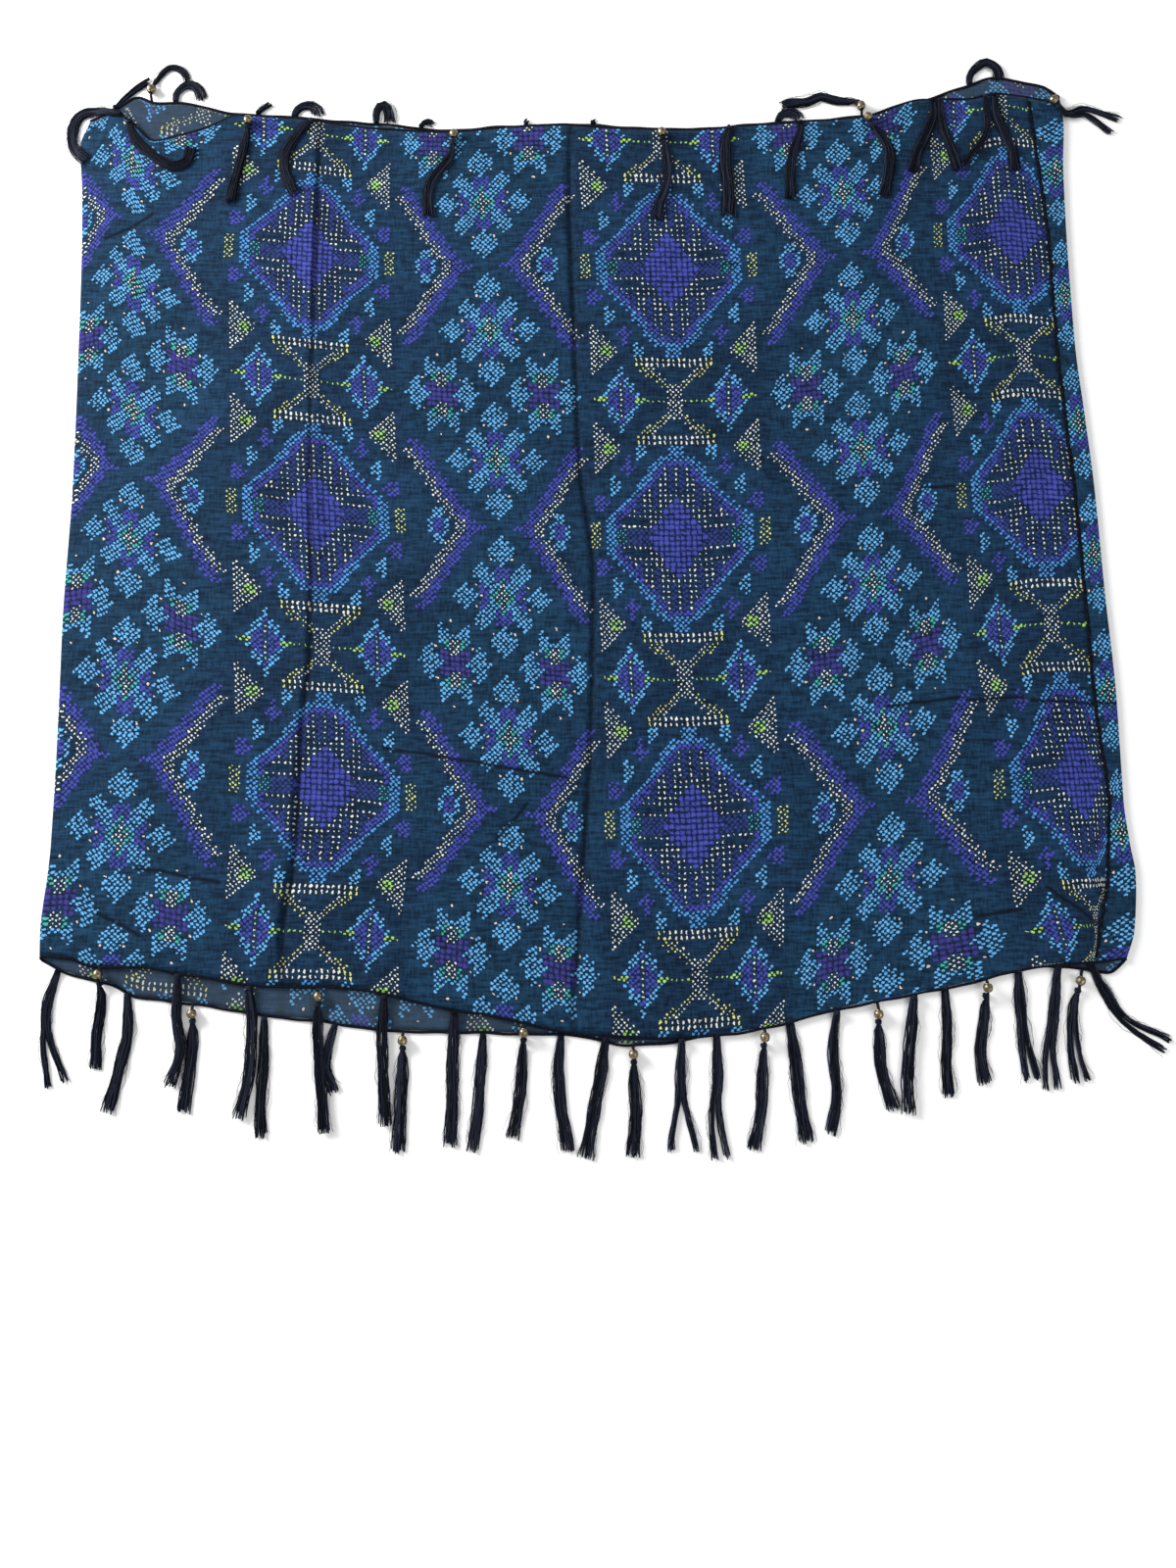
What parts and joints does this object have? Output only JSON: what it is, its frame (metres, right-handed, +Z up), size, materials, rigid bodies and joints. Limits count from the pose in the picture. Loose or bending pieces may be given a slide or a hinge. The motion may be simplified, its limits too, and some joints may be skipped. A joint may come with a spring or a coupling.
{
  "type": "infinity scarf laid flat",
  "caption": "Infinity scarf of printed viscose laid flat as a two-layer loop, with thread-bound hems, long tassels and metal beads on both edges.",
  "frame": {"origin": "under the middle of the whole, tassels included, on the surface that it lies on", "axes": "+X along the loop to the right, +Y from the bottom hem to the top hem, +Z up out of the front layer"},
  "size_m": [0.9756, 0.9966, 0.0118],
  "materials": {
    "printed_viscose": "soft matte plain weave, dark teal ground with blue, purple, cream and yellow stitch-like print",
    "bound_thread": "soft matte black-navy yarn",
    "aged_brass": "darkened antique metal, satin"
  },
  "bodies": {
    "root": {"front_stretch": "printed_viscose", "back_stretch": "printed_viscose", "ring_seam": "bound_thread", "front_bottom_fringe": "bound_thread", "back_bottom_fringe": "bound_thread", "front_top_fringe": "bound_thread", "back_top_fringe": "bound_thread", "bead_front_bottom_1": "aged_brass", "bead_front_bottom_2": "aged_brass", "bead_front_bottom_3": "aged_brass", "bead_front_bottom_4": "aged_brass", "bead_front_bottom_5": "aged_brass", "bead_back_bottom_1": "aged_brass", "bead_back_bottom_2": "aged_brass", "bead_back_bottom_3": "aged_brass", "bead_back_bottom_4": "aged_brass", "bead_back_bottom_5": "aged_brass", "bead_front_top_1": "aged_brass", "bead_front_top_2": "aged_brass", "bead_front_top_3": "aged_brass", "bead_front_top_4": "aged_brass", "bead_back_top_1": "aged_brass", "bead_back_top_2": "aged_brass", "bead_back_top_3": "aged_brass"}
  },
  "joints": []
}
